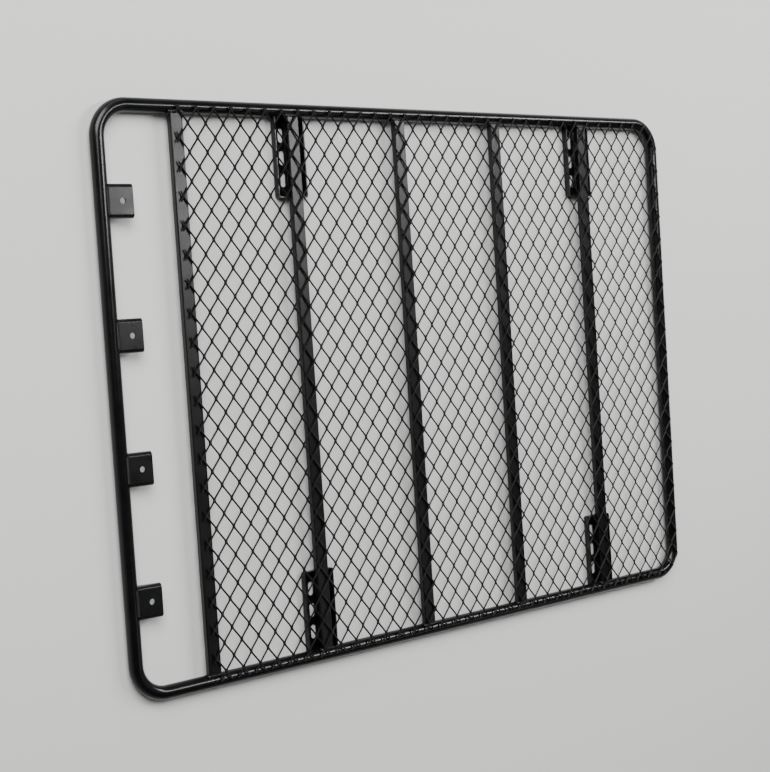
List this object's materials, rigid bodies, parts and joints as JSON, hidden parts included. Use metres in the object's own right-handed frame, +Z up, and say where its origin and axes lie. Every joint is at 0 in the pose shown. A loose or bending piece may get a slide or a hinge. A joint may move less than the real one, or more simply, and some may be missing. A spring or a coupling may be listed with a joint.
{
  "type": "roof cargo tray",
  "caption": "Flat welded steel roof tray: bent tube rim, flat crossbars, expanded mesh deck, slotted mounting channels below and an open front bay with lamp tabs.",
  "frame": {"origin": "centre of the footprint, on the plane of the mounting channels' undersides", "axes": "+Z up through the deck, +X towards the rear of the vehicle, away from the open bay with the lamp tabs, +Y to the left"},
  "size_m": [1.4104, 1.0414, 0.0316],
  "materials": {
    "rim_tube": "satin black powder coat on bent steel tube",
    "crossbar": "satin black powder coat on rectangular steel tube",
    "expanded_mesh": "satin black powder coat on expanded steel mesh",
    "mounting_channel": "satin black powder coat on folded steel plate",
    "lamp_tab": "satin black powder coat on pressed steel plate",
    "weld_bead": "satin black powder coat over weld metal"
  },
  "bodies": {
    "root": {"rim_front_half": "rim_tube", "rim_rear_half": "rim_tube", "rim_butt_weld_left": "weld_bead", "rim_butt_weld_right": "weld_bead", "crossbar_1": "crossbar", "crossbar_weld_1_left": "weld_bead", "crossbar_weld_1_right": "weld_bead", "crossbar_2": "crossbar", "crossbar_weld_2_left": "weld_bead", "crossbar_weld_2_right": "weld_bead", "crossbar_3": "crossbar", "crossbar_weld_3_left": "weld_bead", "crossbar_weld_3_right": "weld_bead", "crossbar_4": "crossbar", "crossbar_weld_4_left": "weld_bead", "crossbar_weld_4_right": "weld_bead", "crossbar_5": "crossbar", "crossbar_weld_5_left": "weld_bead", "crossbar_weld_5_right": "weld_bead", "deck_mesh": "expanded_mesh", "mounting_channel_front_left": "mounting_channel", "channel_rail_weld_front_left": "weld_bead", "channel_flap_weld_front_left": "weld_bead", "mounting_channel_front_right": "mounting_channel", "channel_rail_weld_front_right": "weld_bead", "channel_flap_weld_front_right": "weld_bead", "mounting_channel_rear_left": "mounting_channel", "channel_rail_weld_rear_left": "weld_bead", "channel_flap_weld_rear_left": "weld_bead", "mounting_channel_rear_right": "mounting_channel", "channel_rail_weld_rear_right": "weld_bead", "channel_flap_weld_rear_right": "weld_bead", "lamp_tab_1": "lamp_tab", "lamp_tab_weld_1": "weld_bead", "lamp_tab_2": "lamp_tab", "lamp_tab_weld_2": "weld_bead", "lamp_tab_3": "lamp_tab", "lamp_tab_weld_3": "weld_bead", "lamp_tab_4": "lamp_tab", "lamp_tab_weld_4": "weld_bead"}
  },
  "joints": []
}
